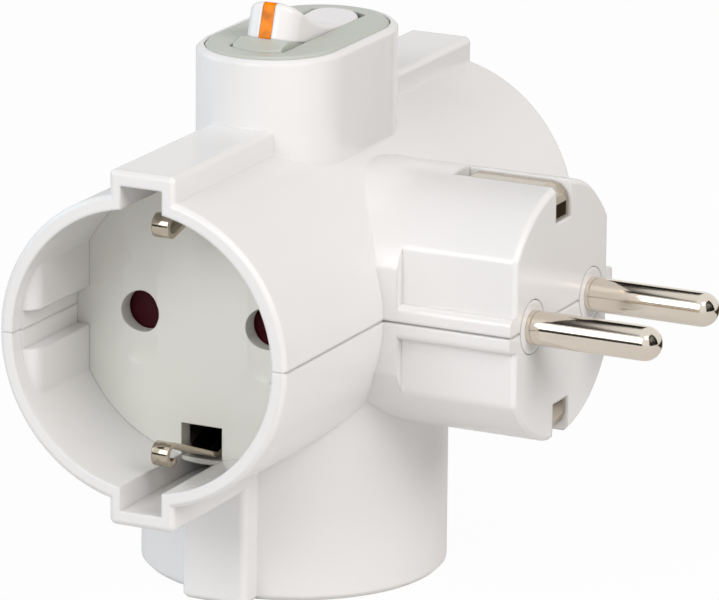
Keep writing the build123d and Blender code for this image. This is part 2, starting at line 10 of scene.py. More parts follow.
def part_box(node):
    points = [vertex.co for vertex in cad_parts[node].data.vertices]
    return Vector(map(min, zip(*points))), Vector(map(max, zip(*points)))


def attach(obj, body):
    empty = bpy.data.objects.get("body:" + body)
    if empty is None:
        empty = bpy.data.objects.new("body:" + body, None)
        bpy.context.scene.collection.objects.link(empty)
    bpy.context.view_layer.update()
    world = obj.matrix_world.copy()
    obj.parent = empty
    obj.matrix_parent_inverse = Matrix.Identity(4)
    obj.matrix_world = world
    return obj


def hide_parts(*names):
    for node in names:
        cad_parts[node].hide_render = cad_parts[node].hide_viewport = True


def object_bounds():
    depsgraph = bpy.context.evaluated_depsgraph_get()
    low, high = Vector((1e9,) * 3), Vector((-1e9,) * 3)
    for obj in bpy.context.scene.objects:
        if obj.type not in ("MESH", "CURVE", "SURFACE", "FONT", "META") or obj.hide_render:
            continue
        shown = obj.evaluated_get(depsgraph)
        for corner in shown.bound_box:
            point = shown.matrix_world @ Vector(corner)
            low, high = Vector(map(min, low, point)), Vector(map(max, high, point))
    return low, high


bl_info = {
    "name": "Multi Socket Adapter",
    "version": (1, 0, 0),
    "blender": (4, 5, 0),
    "location": "View3D > Sidebar > Adapter",
    "description": "Finishes and fine pieces of a switched three-way mains adapter",
    "category": "Object",
}

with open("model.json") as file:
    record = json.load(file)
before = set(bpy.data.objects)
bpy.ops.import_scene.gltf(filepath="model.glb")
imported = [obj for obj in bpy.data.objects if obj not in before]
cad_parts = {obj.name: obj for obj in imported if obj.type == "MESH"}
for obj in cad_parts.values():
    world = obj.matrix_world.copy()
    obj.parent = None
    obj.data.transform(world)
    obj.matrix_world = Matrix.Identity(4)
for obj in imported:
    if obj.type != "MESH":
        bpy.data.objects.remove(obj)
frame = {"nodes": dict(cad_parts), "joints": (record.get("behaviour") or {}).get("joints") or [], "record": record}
cad_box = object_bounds()

MM = 0.001

# Turn of each socket from its own frame, where +Z points out of it and the pin line is X
SOCKETS = {
    "front": (math.radians(90), 0, 0),
    "back": (math.radians(90), 0, math.radians(180)),
    "bottom": (math.radians(180), 0, 0),
}

# The point where the barrel axes and the plug axis cross, from the shutter's hinge
CROSSING = Vector(next(j["pos_m"] for j in frame["joints"] if j["name"] == "front_shutter_turn"))

# The two plug pins, as the record's mount gives them
PLUG_PINS = next(m for m in frame["record"]["mounts"] if m["name"] == "plug_pins")
PIN_PITCH = PLUG_PINS["dims"]["pcd_mm"] * MM

# Meshes: points that lie closer than this are one, and edges that bend by more degrees stay sharp
MERGE = 1e-7
PLATE_CREASE = 12
STRIP_CREASE = 40
PIN_CREASE = 35

# Earth strips: degrees round the rolled contact, from the leg to the strip's end, and the share of
# the thickness that the edges are rounded by
ROLL_ANGLES = range(-20, 221, 20)
STRIP_EDGE = 0.2

# Surfaces: roundings and reliefs, and the share by which a pattern changes the roughness
NOISE_MIDDLE = 0.5
EDGE_SAMPLES = 12
PLASTIC_IOR = 1.5
PLASTIC_EDGE = 0.6 * MM
GRAIN_DEPTH = 0.02 * MM
FLOW_SPREAD = 0.25
METAL_EDGE = 0.3 * MM
LINE_STRENGTH = 0.08
LINE_DEPTH = 0.01 * MM
LINE_SPREAD = 0.8

# Camera body
SENSOR_WIDTH = 36.0
CLIP_START, CLIP_END = 0.01, 20.0

# Floor: its gap under the bottom rim, and its share of white as it is seen and in polished metal
FLOOR_GAP = 0.02 * MM
FLOOR_WHITE = 0.96
FLOOR_IN_METAL = 0.35

# Soft lamps that look at the crossing: stage property with the power, tint, size and place in metres
LAMPS = {
    "key_lamp": ("key_power", (0.96, 0.98, 1.0), (0.8, 0.7), (-0.32, -1.22, 0.70)),
    "side_lamp": ("side_power", (1.0, 0.98, 0.97), (0.8, 0.7), (1.10, -0.30, 0.76)),
    "top_lamp": ("top_power", (1.0, 1.0, 1.0), (0.6, 0.6), (0.62, -0.70, 1.10)),
    "sky_lamp": ("sky_power", (0.62, 0.82, 1.0), (0.8, 0.8), (-1.25, -0.25, 0.4)),
}

# Cards that show only in polished metal: colour, size, place and the point that each faces
CARD_DARK = (0.02, 0.017, 0.014)
CARD_BROWN = (0.06, 0.045, 0.03)
LOW_CARD = cad_box[0].z + 1 * MM
CARDS = {
    "overhead_card": (CARD_DARK, (0.30, 1.25), (-0.38, 0.22, 0.60), (-0.38, 0.22, 0.0)),
    "horizon_card": (CARD_DARK, (0.90, 0.16), (-0.30, -0.62, 0.04), (0.0, 0.0, 0.04)),
    "plug_card": (CARD_DARK, (0.6, 0.80), (0.5, -0.08, 0.37), (0.0, -0.08, 0.37)),
    "floor_card": (CARD_BROWN, (0.25, 0.40), (0.16, 0.28, LOW_CARD), (0.16, 0.28, 1.0)),
}


class AdapterFinish(bpy.types.PropertyGroup):
    """Colours and surface of the mouldings and metals."""

    housing_colour: bpy.props.FloatVectorProperty(
        name="Housing colour", description="Warm white of the two housing halves",
        default=(0.785, 0.772, 0.765), size=3, subtype="COLOR", min=0.0, max=1.0)
    plate_colour: bpy.props.FloatVectorProperty(
        name="Plate colour", description="Greyer white of the socket plates",
        default=(0.75, 0.75, 0.70), size=3, subtype="COLOR", min=0.0, max=1.0)
    bezel_colour: bpy.props.FloatVectorProperty(
        name="Bezel colour", description="Light grey of the switch frame",
        default=(0.515, 0.54, 0.485), size=3, subtype="COLOR", min=0.0, max=1.0)
    rocker_colour: bpy.props.FloatVectorProperty(
        name="Rocker colour", description="White of the rocker's top",
        default=(0.80, 0.78, 0.78), size=3, subtype="COLOR", min=0.0, max=1.0)
    lens_colour: bpy.props.FloatVectorProperty(
        name="Lens colour", description="Orange of the rocker's lens bar",
        default=(0.78, 0.205, 0.004), size=3, subtype="COLOR", min=0.0, max=1.0)
    glass_colour: bpy.props.FloatVectorProperty(
        name="Glass colour", description="Lamp under the lens",
        default=(0.75, 0.55, 0.4), size=3, subtype="COLOR", min=0.0, max=1.0)
    resistor_colour: bpy.props.FloatVectorProperty(
        name="Resistor colour", description="Brown body of the lamp's resistor",
        default=(0.28, 0.16, 0.07), size=3, subtype="COLOR", min=0.0, max=1.0)
    # Painted shade: the shutters' red is darkened below its own colour for the shade deep behind the pin holes
    shutter_colour: bpy.props.FloatVectorProperty(
        name="Shutter colour", description="Dark red of the shutters behind the pin holes",
        default=(0.045, 0.003, 0.006), size=3, subtype="COLOR", min=0.0, max=1.0)
    insulator_colour: bpy.props.FloatVectorProperty(
        name="Insulator colour", description="Pale colour of the inner mouldings",
        default=(0.55, 0.52, 0.44), size=3, subtype="COLOR", min=0.0, max=1.0)
    pin_colour: bpy.props.FloatVectorProperty(
        name="Pin colour", description="Nickel plate on the brass pins",
        default=(0.76, 0.70, 0.62), size=3, subtype="COLOR", min=0.0, max=1.0)
    # Painted shade: the strips' plating is darker than the pins' so that the earth strips and clips look shaded
    # inside the sockets and the plug
    strip_colour: bpy.props.FloatVectorProperty(
        name="Strip colour", description="Nickel plate on the earth strips",
        default=(0.60, 0.54, 0.45), size=3, subtype="COLOR", min=0.0, max=1.0)
    brass_colour: bpy.props.FloatVectorProperty(
        name="Brass colour", description="Stamped brass of the contact strips",
        default=(0.72, 0.50, 0.20), size=3, subtype="COLOR", min=0.0, max=1.0)
    steel_colour: bpy.props.FloatVectorProperty(
        name="Steel colour", description="Spring wire",
        default=(0.50, 0.50, 0.51), size=3, subtype="COLOR", min=0.0, max=1.0)
    edge_radius: bpy.props.FloatProperty(
        name="Edge radius", description="Rounding that the light shows along the housing's edges",
        default=PLASTIC_EDGE, min=0.0, subtype="DISTANCE", unit="LENGTH")


class AdapterPins(bpy.types.PropertyGroup):
    """Turned form of the two plug pins."""

    radius: bpy.props.FloatProperty(
        name="Radius", description="Radius of a pin outside the plug",
        default=PLUG_PINS["dims"]["stud_r_mm"] * MM, subtype="DISTANCE", unit="LENGTH")
    neck_depth: bpy.props.FloatProperty(
        name="Neck depth", description="How far the shank is turned down inside the plug",
        default=0.4 * MM, subtype="DISTANCE", unit="LENGTH")
    head_radius: bpy.props.FloatProperty(
        name="Head radius", description="Radius of the riveted head behind the strap",
        default=2.7 * MM, subtype="DISTANCE", unit="LENGTH")
    head_length: bpy.props.FloatProperty(
        name="Head length", description="Length of the riveted head",
        default=1.1 * MM, subtype="DISTANCE", unit="LENGTH")
    tip_steps: bpy.props.IntProperty(
        name="Tip steps", description="Rings in the round tip", default=14, min=4, max=40)
    segments: bpy.props.IntProperty(
        name="Segments", description="Faces round a pin", default=72, min=16, max=128)


class AdapterStrips(bpy.types.PropertyGroup):
    """Bent earth strips of the sockets, in each socket's own radius and depth."""

    width: bpy.props.FloatProperty(
        name="Width", description="Width of a strip behind its plate", default=5.0 * MM,
        subtype="DISTANCE", unit="LENGTH")
    tip_width: bpy.props.FloatProperty(
        name="Tip width", description="Width of the rolled contact", default=2.6 * MM,
        subtype="DISTANCE", unit="LENGTH")
    thickness: bpy.props.FloatProperty(
        name="Thickness", description="Thickness of the strip", default=0.8 * MM,
        subtype="DISTANCE", unit="LENGTH")
    bend: bpy.props.FloatProperty(
        name="Bend", description="Rounding of the bends", default=1.6 * MM,
        subtype="DISTANCE", unit="LENGTH")
    roll: bpy.props.FloatProperty(
        name="Roll", description="Radius of the rolled contact, at the middle of the strip",
        default=1.3 * MM, subtype="DISTANCE", unit="LENGTH")
    roll_radius: bpy.props.FloatProperty(
        name="Roll place", description="From the socket's axis to the middle of the roll",
        default=15.9 * MM, subtype="DISTANCE", unit="LENGTH")
    shoulder: bpy.props.FloatProperty(
        name="Shoulder", description="From the socket's axis to the bend behind the plate",
        default=16.2 * MM, subtype="DISTANCE", unit="LENGTH")
    window: bpy.props.FloatProperty(
        name="Window", description="From the socket's axis to the leg where it passes the plate",
        default=18.55 * MM, subtype="DISTANCE", unit="LENGTH")
    leg: bpy.props.FloatProperty(
        name="Leg", description="From the plate's face to the middle of the roll",
        default=10.7 * MM, subtype="DISTANCE", unit="LENGTH")
    plate: bpy.props.FloatProperty(
        name="Plate", description="Thickness of the plate that the leg passes",
        default=2.5 * MM, subtype="DISTANCE", unit="LENGTH")


class AdapterRecess(bpy.types.PropertyGroup):
    """Shallow upright troughs in the socket plates, one round each pin hole."""

    width: bpy.props.FloatProperty(
        name="Width", description="Width of a trough at the plate's face", default=5.2 * MM,
        subtype="DISTANCE", unit="LENGTH")
    length: bpy.props.FloatProperty(
        name="Length", description="Length of a trough with its round ends", default=15.2 * MM,
        subtype="DISTANCE", unit="LENGTH")
    depth: bpy.props.FloatProperty(
        name="Depth", description="Depth of a trough at its middle", default=0.5 * MM,
        subtype="DISTANCE", unit="LENGTH")
    pitch: bpy.props.FloatProperty(
        name="Pitch", description="From one pin hole to the other", default=PIN_PITCH,
        subtype="DISTANCE", unit="LENGTH")


class AdapterStage(bpy.types.PropertyGroup):
    """Camera, floor and lamps."""

    azimuth: bpy.props.FloatProperty(
        name="Azimuth", description="Camera's turn round the adapter",
        default=math.radians(26.87), subtype="ANGLE", unit="ROTATION")
    elevation: bpy.props.FloatProperty(
        name="Elevation", description="Camera's angle above the floor",
        default=math.radians(15.5), subtype="ANGLE", unit="ROTATION")
    roll: bpy.props.FloatProperty(
        name="Roll", description="Camera's turn about its own line of sight",
        default=math.radians(0.41), subtype="ANGLE", unit="ROTATION")
    distance: bpy.props.FloatProperty(
        name="Distance", description="From the camera to the crossing of the barrels",
        default=0.9409, subtype="DISTANCE", unit="LENGTH")
    lens: bpy.props.FloatProperty(
        name="Lens", description="Focal length for a 36 mm wide sensor", default=339.8,
        subtype="DISTANCE_CAMERA")
    shift: bpy.props.FloatVectorProperty(
        name="Shift", description="Shift of the frame so that the crossing sits where the photo has it",
        default=(0.0882, -0.0386), size=2)
    floor_colour: bpy.props.FloatVectorProperty(
        name="Floor colour", description="Pale floor", default=(0.80, 0.79, 0.78), size=3,
        subtype="COLOR", min=0.0, max=1.0)
    floor_size: bpy.props.FloatProperty(
        name="Floor size", description="Width of the square floor", default=5.0,
        subtype="DISTANCE", unit="LENGTH")
    world_light: bpy.props.FloatProperty(
        name="World light", description="Even light from all round", default=0.36, min=0.0)
    world_tint: bpy.props.FloatVectorProperty(
        name="World tint", description="Warm tone of the even light, which shows in the shade",
        default=(1.0, 0.965, 0.93), size=3, subtype="COLOR", min=0.0, max=1.0)
    key_power: bpy.props.FloatProperty(
        name="Key power", description="Soft lamp above and left of the camera", default=8.6,
        min=0.0, subtype="POWER", unit="POWER")
    side_power: bpy.props.FloatProperty(
        name="Side power", description="Soft lamp on the plug's side", default=9.4,
        min=0.0, subtype="POWER", unit="POWER")
    top_power: bpy.props.FloatProperty(
        name="Top power", description="Soft lamp high up on the right that reaches into the front well",
        default=2.2, min=0.0, subtype="POWER", unit="POWER")
    sky_power: bpy.props.FloatProperty(
        name="Sky power", description="Bluish soft lamp on the left", default=3.8,
        min=0.0, subtype="POWER", unit="POWER")


def join(tree, value, target):
    """Link an output to a node's input, or set the input to a plain value."""
    if isinstance(value, bpy.types.NodeSocket):
        tree.links.new(value, target)
    else:
        target.default_value = value


def feed(tree, node, **inputs):
    """Link or set some of a node's inputs by name, with _ for a space."""
    for name, value in inputs.items():
        join(tree, value, node.inputs[name.replace("_", " ")])


def add_node(tree, kind, label, settings=None, **inputs):
    """A new node with a label, its settings, and links or values for some of its inputs."""
    node = tree.nodes.new(kind)
    node.name = node.label = label
    for setting, value in (settings or {}).items():
        setattr(node, setting, value)
    feed(tree, node, **inputs)
    return node


def calculate(tree, operation, first, second, label):
    """Result of a Math node; each side is an output or a number."""
    node = add_node(tree, "ShaderNodeMath", label, {"operation": operation})
    join(tree, first, node.inputs[0])
    join(tree, second, node.inputs[1])
    return node.outputs[0]


def new_group(name, inputs, outputs):
    """Empty shader group with named sockets; returns the group and its two end nodes."""
    group = bpy.data.node_groups.new(name, "ShaderNodeTree")
    for label, kind, value in inputs:
        socket = group.interface.new_socket(label, in_out="INPUT", socket_type=kind)
        socket.default_value = value
    for label, kind in outputs:
        group.interface.new_socket(label, in_out="OUTPUT", socket_type=kind)
    return group, group.nodes.new("NodeGroupInput"), group.nodes.new("NodeGroupOutput")


def swinging_gloss(group, given, pattern):
    """Swing of a noise pattern about its middle, and the roughness that follows it."""
    swing = calculate(group, "SUBTRACT", pattern, NOISE_MIDDLE, "Swing")
    spread = calculate(group, "MULTIPLY", swing, given["Gloss Spread"], "Gloss swing")
    return swing, calculate(group, "ADD", spread, given["Gloss"], "Roughness")


def moulded_skin_group():
    """Mottled tone and fine grain of injection-moulded plastic: marks that the melt left as it filled the mould,
    and where the mottling is deep, as on the lens, painted highlight and shade; both sizes are in millimetres.
    """
    group, entry, leave = new_group(
        "Moulded Skin",
        [("Colour", "NodeSocketColor", (0.8, 0.8, 0.8, 1.0)),
         ("Flow Size", "NodeSocketFloat", 12.0),
         ("Flow Depth", "NodeSocketFloat", 0.03),
         ("Gloss", "NodeSocketFloat", 0.3),
         ("Gloss Spread", "NodeSocketFloat", 0.08),
         ("Grain Size", "NodeSocketFloat", 0.25)],
        [("Colour", "NodeSocketColor"), ("Roughness", "NodeSocketFloat"), ("Height", "NodeSocketFloat")])
    given = entry.outputs
    place = add_node(group, "ShaderNodeTexCoord", "Place").outputs["Object"]
    flow_and_sheen_scale = calculate(group, "DIVIDE", 1 / MM, given["Flow Size"], "Flow scale")
    # This noise gives moulding marks, and painted highlight and shade where its depth is large
    flow_and_sheen = add_node(group, "ShaderNodeTexNoise", "Flow marks", Vector=place, Scale=flow_and_sheen_scale,
                    Detail=1.0, Roughness=0.4)
    grain_scale = calculate(group, "DIVIDE", 1 / MM, given["Grain Size"], "Grain scale")
    grain = add_node(group, "ShaderNodeTexNoise", "Grain", Vector=place, Scale=grain_scale,
                     Detail=2.0, Roughness=0.5)
    swing, rough = swinging_gloss(group, given, flow_and_sheen.outputs["Fac"])
    shade = calculate(group, "MULTIPLY", swing, given["Flow Depth"], "Shade")
    tone = calculate(group, "ADD", shade, 1.0, "Tone")
    tint = add_node(group, "ShaderNodeVectorMath", "Tint", {"operation": "SCALE"},
                    Vector=given["Colour"], Scale=tone)
    feed(group, leave, Colour=tint.outputs[0], Roughness=rough, Height=grain.outputs["Fac"])
    return group


def soft_edge_group():
    """Normal that rounds sharp edges."""
    group, entry, leave = new_group(
        "Soft Edges", [("Radius", "NodeSocketFloat", PLASTIC_EDGE)], [("Normal", "NodeSocketVector")])
    bevel = add_node(group, "ShaderNodeBevel", "Rounded", {"samples": EDGE_SAMPLES},
                     Radius=entry.outputs["Radius"])
    feed(group, leave, Normal=bevel.outputs["Normal"])
    return group


def drawn_metal_group():
    """Fine lines along a drawn bar or rolled strip, with a faint cloudy tarnish."""
    group, entry, leave = new_group(
        "Drawn Metal",
        [("Colour", "NodeSocketColor", (0.7, 0.65, 0.6, 1.0)),
         ("Tarnish", "NodeSocketColor", (0.5, 0.42, 0.3, 1.0)),
         ("Tarnish Amount", "NodeSocketFloat", 0.3),
         ("Line Stretch", "NodeSocketVector", (40.0, 3000.0, 3000.0)),
         ("Gloss", "NodeSocketFloat", 0.16),
         ("Gloss Spread", "NodeSocketFloat", 0.12)],
        [("Colour", "NodeSocketColor"), ("Roughness", "NodeSocketFloat"), ("Height", "NodeSocketFloat")])
    given = entry.outputs
    place = add_node(group, "ShaderNodeTexCoord", "Place").outputs["Object"]
    stretch = add_node(group, "ShaderNodeVectorMath", "Stretch", {"operation": "MULTIPLY"})
    join(group, place, stretch.inputs[0])
    join(group, given["Line Stretch"], stretch.inputs[1])
    lines = add_node(group, "ShaderNodeTexNoise", "Lines", Vector=stretch.outputs[0], Scale=1.0,
                     Detail=3.0, Roughness=0.6)
    cloud = add_node(group, "ShaderNodeTexNoise", "Cloud", Vector=place, Scale=260.0,
                     Detail=4.0, Roughness=0.55)
    amount = calculate(group, "MULTIPLY", cloud.outputs["Fac"], given["Tarnish Amount"], "Amount")
    blend = add_node(group, "ShaderNodeMix", "Tarnished", {"data_type": "RGBA"}, Factor=amount,
                     A=given["Colour"], B=given["Tarnish"])
    _, rough = swinging_gloss(group, given, lines.outputs["Fac"])
    feed(group, leave, Colour=blend.outputs["Result"], Roughness=rough, Height=lines.outputs["Fac"])
    return group


def shape_tree(name, sizes):
    """Geometry Nodes tree with a shape in and out and named sizes; returns it with its end nodes."""
    tree = bpy.data.node_groups.new(name, "GeometryNodeTree")
    tree.interface.new_socket("Geometry", in_out="INPUT", socket_type="NodeSocketGeometry")
    tree.interface.new_socket("Geometry", in_out="OUTPUT", socket_type="NodeSocketGeometry")
    sockets = [(size, "NodeSocketFloat") for size in sizes]
    sockets += [("Place", "NodeSocketVector"), ("Turn", "NodeSocketRotation"),
                ("Material", "NodeSocketMaterial")]
    for label, kind in sockets:
        tree.interface.new_socket(label, in_out="INPUT", socket_type=kind)
    return tree, tree.nodes.new("NodeGroupInput"), tree.nodes.new("NodeGroupOutput")


def close_tree(tree, shape, entry, leave):
    """Place the shape in the adapter, make instances real and set the material."""
    given = entry.outputs
    place = add_node(tree, "GeometryNodeTransform", "Place in the adapter", Geometry=shape,
                     Translation=given["Place"], Rotation=given["Turn"])
    real = add_node(tree, "GeometryNodeRealizeInstances", "Real mesh", Geometry=place.outputs[0])
    paint = add_node(tree, "GeometryNodeSetMaterial", "Material", Geometry=real.outputs[0],
                     Material=given["Material"])
    feed(tree, leave, Geometry=paint.outputs[0])


def run_tree(data, tree, **values):
    """Plain mesh that a Geometry Nodes tree makes from a curve or mesh, with its own values."""
    source = bpy.data.objects.new(tree.name, data)
    bpy.context.scene.collection.objects.link(source)
    modifier = source.modifiers.new(tree.name, "NODES")
    modifier.node_group = tree
    for socket in tree.interface.items_tree:
        label = socket.name.replace(" ", "_")
        if socket.in_out == "INPUT" and label in values:
            modifier[socket.identifier] = values[label]
    depsgraph = bpy.context.evaluated_depsgraph_get()
    mesh = bpy.data.meshes.new_from_object(source.evaluated_get(depsgraph), depsgraph=depsgraph)
    source.modifiers.remove(modifier)
    bpy.data.objects.remove(source)
    if not mesh.polygons:
        raise RuntimeError("no faces came out of " + tree.name)
    return mesh


def smooth_faces(mesh, angle):
    """Smooth shading with edges kept sharp above an angle in degrees."""
    mesh.shade_smooth()
    mesh.set_sharp_from_angle(angle=math.radians(angle))


def shared_group(name, maker):
    """A node group by name, made the first time it is asked for."""
    return bpy.data.node_groups.get(name) or maker()


def start_material(name):
    """New material with its tree and its Principled shader."""
    material = bpy.data.materials.new(name)
    material.use_nodes = True
    tree = material.node_tree
    return material, tree, tree.nodes["Principled BSDF"]


def place_group(tree, group, **values):
    """A shader group in a material with its own values."""
    return add_node(tree, "ShaderNodeGroup", group.name, {"node_tree": group}, **values)


def rounded_bump(tree, shader, height, strength, depth, edge_radius):
    """Fine relief on top of softly rounded edges, into the shader's normal."""
    edges = place_group(tree, shared_group("Soft Edges", soft_edge_group), Radius=edge_radius)
    bump = add_node(tree, "ShaderNodeBump", "Relief", Strength=strength, Distance=depth, Height=height,
                    Normal=edges.outputs["Normal"])
    feed(tree, shader, Normal=bump.outputs["Normal"])


def plastic(name, colour, gloss, flow_and_sheen_depth=0.03, flow_and_sheen_size=14.0, grain=0.02, edge_radius=PLASTIC_EDGE,
            shine=0.5):
    """Moulded plastic: mottled tone, fine grain and rounded edges; the mottling is marks that the melt left in the
    mould, and where it is deep, painted highlight and shade.
    """
    material, tree, shader = start_material(name)
    skin = place_group(
        tree, shared_group("Moulded Skin", moulded_skin_group), Colour=(*colour, 1.0),
        Flow_Size=flow_and_sheen_size, Flow_Depth=flow_and_sheen_depth, Gloss=gloss, Gloss_Spread=gloss * FLOW_SPREAD)
    feed(tree, shader, Base_Color=skin.outputs["Colour"], Roughness=skin.outputs["Roughness"],
         IOR=PLASTIC_IOR, Specular_IOR_Level=shine)
    rounded_bump(tree, shader, skin.outputs["Height"], grain, GRAIN_DEPTH, edge_radius)
    return material


def metal(name, colour, tarnish, amount, stretch, gloss):
    """Plated or stamped metal with fine drawn lines; stretch is the lines' scale along X, Y and Z."""
    material, tree, shader = start_material(name)
    drawn = place_group(
        tree, shared_group("Drawn Metal", drawn_metal_group), Colour=(*colour, 1.0),
        Tarnish=(*tarnish, 1.0), Tarnish_Amount=amount, Line_Stretch=stretch,
        Gloss=gloss, Gloss_Spread=gloss * LINE_SPREAD)
    feed(tree, shader, Base_Color=drawn.outputs["Colour"], Roughness=drawn.outputs["Roughness"],
         Metallic=1.0)
    rounded_bump(tree, shader, drawn.outputs["Height"], LINE_STRENGTH, LINE_DEPTH, METAL_EDGE)
    return material


def finish_node(material, *names):
    """Put a material on CAD nodes."""
    for name in names:
        for slot in frame["nodes"][name].material_slots:
            slot.material = material


def new_piece(name, mesh, material, body, node):
    """A finished mesh that rides on a body and stands for a CAD node."""
    piece = bpy.data.objects.new(name, mesh)
    bpy.context.scene.collection.objects.link(piece)
    mesh.materials.clear()
    mesh.materials.append(material)
    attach(piece, body)
    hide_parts(node)


class ADAPTER_OT_housing(bpy.types.Operator):
    """Finish the two housing halves and the pin holder in glossy warm white"""

    bl_idname = "adapter.housing"
    bl_label = "Housing"

    def execute(self, context):
        looks = context.scene.adapter_finish
        white = plastic("housing_white", looks.housing_colour, gloss=0.22, edge_radius=looks.edge_radius)
        finish_node(white, "upper_housing", "lower_housing", "pin_holder")
        return {"FINISHED"}


def split_position(tree):
    """X, Y and Z of each point of a shape."""
    at = add_node(tree, "GeometryNodeInputPosition", "Position")
    return add_node(tree, "ShaderNodeSeparateXYZ", "Split", Vector=at.outputs[0]).outputs


def trough_cutter(tree, given, radius):
    """Ball that is pulled apart at its waist, so that it cuts a trough with round ends."""
    ball = add_node(tree, "GeometryNodeMeshUVSphere", "Cutter", Segments=96, Rings=48, Radius=radius)
    run = calculate(tree, "SUBTRACT", given["Length"], given["Width"], "Straight run")
    pull = calculate(tree, "MULTIPLY", run, 0.5, "Pull")
    side = calculate(tree, "SIGN", split_position(tree)["Y"], 0.0, "Side")
    outward = calculate(tree, "MULTIPLY", side, pull, "Outward pull")
    shift = add_node(tree, "ShaderNodeCombineXYZ", "Shift", Y=outward)
    longer = add_node(tree, "GeometryNodeSetPosition", "Pull apart", Geometry=ball.outputs["Mesh"],
                      Offset=shift.outputs[0])
    return longer.outputs[0]


def trough_tree():
    """Cut a shallow trough with round ends round each pin hole of a plate."""
    tree, entry, leave = shape_tree("Plate Troughs", ("Width", "Length", "Depth", "Pitch", "Face"))
    given = entry.outputs
    half = calculate(tree, "MULTIPLY", given["Width"], 0.5, "Half width")
    square = calculate(tree, "MULTIPLY", half, half, "Half width squared")
    over = calculate(tree, "DIVIDE", square, given["Depth"], "Over depth")
    double = calculate(tree, "ADD", over, given["Depth"], "Diameter")
    radius = calculate(tree, "MULTIPLY", double, 0.5, "Cutter radius")
    above = calculate(tree, "SUBTRACT", radius, given["Depth"], "Above the face")
    level = calculate(tree, "ADD", given["Face"], above, "Cutter level")
    start = calculate(tree, "MULTIPLY", given["Pitch"], -0.5, "Half pitch")
    first = add_node(tree, "ShaderNodeCombineXYZ", "First hole", X=start, Z=level)
    step = add_node(tree, "ShaderNodeCombineXYZ", "Next hole", X=given["Pitch"])
    row = add_node(tree, "GeometryNodeMeshLine", "Pin holes", Count=2, Start_Location=first.outputs[0],
                   Offset=step.outputs[0])
    pair = add_node(tree, "GeometryNodeInstanceOnPoints", "Pair of cutters", Points=row.outputs[0],
                    Instance=trough_cutter(tree, given, radius))
    cut = add_node(tree, "GeometryNodeMeshBoolean", "Cut", {"operation": "DIFFERENCE", "solver": "EXACT"},
                   Mesh_1=given["Geometry"], Mesh_2=pair.outputs[0])
    close_tree(tree, cut.outputs["Mesh"], entry, leave)
    return tree


def merged_copy(node, place, turn):
    """Closed copy of a CAD node's mesh, turned into its socket's own frame."""
    mesh = frame["nodes"][node].data.copy()
    shape = bmesh.new()
    shape.from_mesh(mesh)
    bmesh.ops.remove_doubles(shape, verts=shape.verts, dist=MERGE)
    into = Matrix.Translation(place) @ Euler(turn).to_matrix().to_4x4()
    shape.transform(into.inverted())
    shape.to_mesh(mesh)
    shape.free()
    return mesh


class ADAPTER_OT_sockets(bpy.types.Operator):
    """Cut the plates' troughs and finish the plates, shutters, caps and springs"""

    bl_idname = "adapter.sockets"
    bl_label = "Sockets"

    def execute(self, context):
        looks = context.scene.adapter_finish
        plate = plastic("plate_white", looks.plate_colour, gloss=0.34, edge_radius=0.3 * MM)
        # The shutters' darkened red is partly painted shade in the pin holes
        red = plastic("shutter_red", looks.shutter_colour, gloss=0.35, flow_and_sheen_depth=0.3, shine=0.12)
        cap = plastic("cap_plastic", looks.insulator_colour, gloss=0.45)
        steel = metal("spring_steel", looks.steel_colour, tarnish=(0.3, 0.3, 0.3), amount=0.3,
                      stretch=(400, 400, 400), gloss=0.3)
        tree = shared_group("Plate Troughs", trough_tree)
        sizes = context.scene.adapter_recess
        for socket, turn in SOCKETS.items():
            node = socket + "_socket_plate"
            local = merged_copy(node, CROSSING, turn)
            face = max(vertex.co.z for vertex in local.vertices)
            mesh = run_tree(
                local, tree, Width=sizes.width, Length=sizes.length, Depth=sizes.depth, Pitch=sizes.pitch,
                Face=face, Place=CROSSING, Turn=turn, Material=plate)
            smooth_faces(mesh, PLATE_CREASE)
            new_piece(socket + "_plate_with_troughs", mesh, plate, "housing", node)
            finish_node(red, socket + "_shutter")
            finish_node(cap, socket + "_shutter_cap")
            finish_node(steel, socket + "_shutter_spring")
        finish_node(steel, "plunger_spring")
        return {"FINISHED"}


def strip_section(tree, given):
    """Flat section of a strip with rounded edges."""
    section = add_node(tree, "GeometryNodeCurvePrimitiveQuadrilateral", "Section", Width=given["Width"],
                       Height=given["Thickness"])
    radius = calculate(tree, "MULTIPLY", given["Thickness"], STRIP_EDGE, "Edge radius")
    edge = add_node(tree, "GeometryNodeFilletCurve", "Rounded edges", {"mode": "POLY"}, Count=3,
                    Limit_Radius=True, Curve=section.outputs[0], Radius=radius)
    return edge.outputs[0]


def narrow_tips(tree, given, shape):
    """Make a strip narrower from the start to the end of its taper."""
    at = split_position(tree)
    share = calculate(tree, "DIVIDE", given["Tip Width"], given["Width"], "Tip share")
    taper = add_node(tree, "ShaderNodeMapRange", "Taper", Value=at["Z"], From_Min=given["Taper Start"],
                     From_Max=given["Taper End"], To_Min=1.0, To_Max=share)
    across = calculate(tree, "MULTIPLY", at["X"], taper.outputs[0], "Across")
    narrow = add_node(tree, "ShaderNodeCombineXYZ", "Narrowed", X=across, Y=at["Y"], Z=at["Z"])
    shaped = add_node(tree, "GeometryNodeSetPosition", "Narrow the tips", Geometry=shape,
                      Position=narrow.outputs[0])
    return shaped.outputs[0]


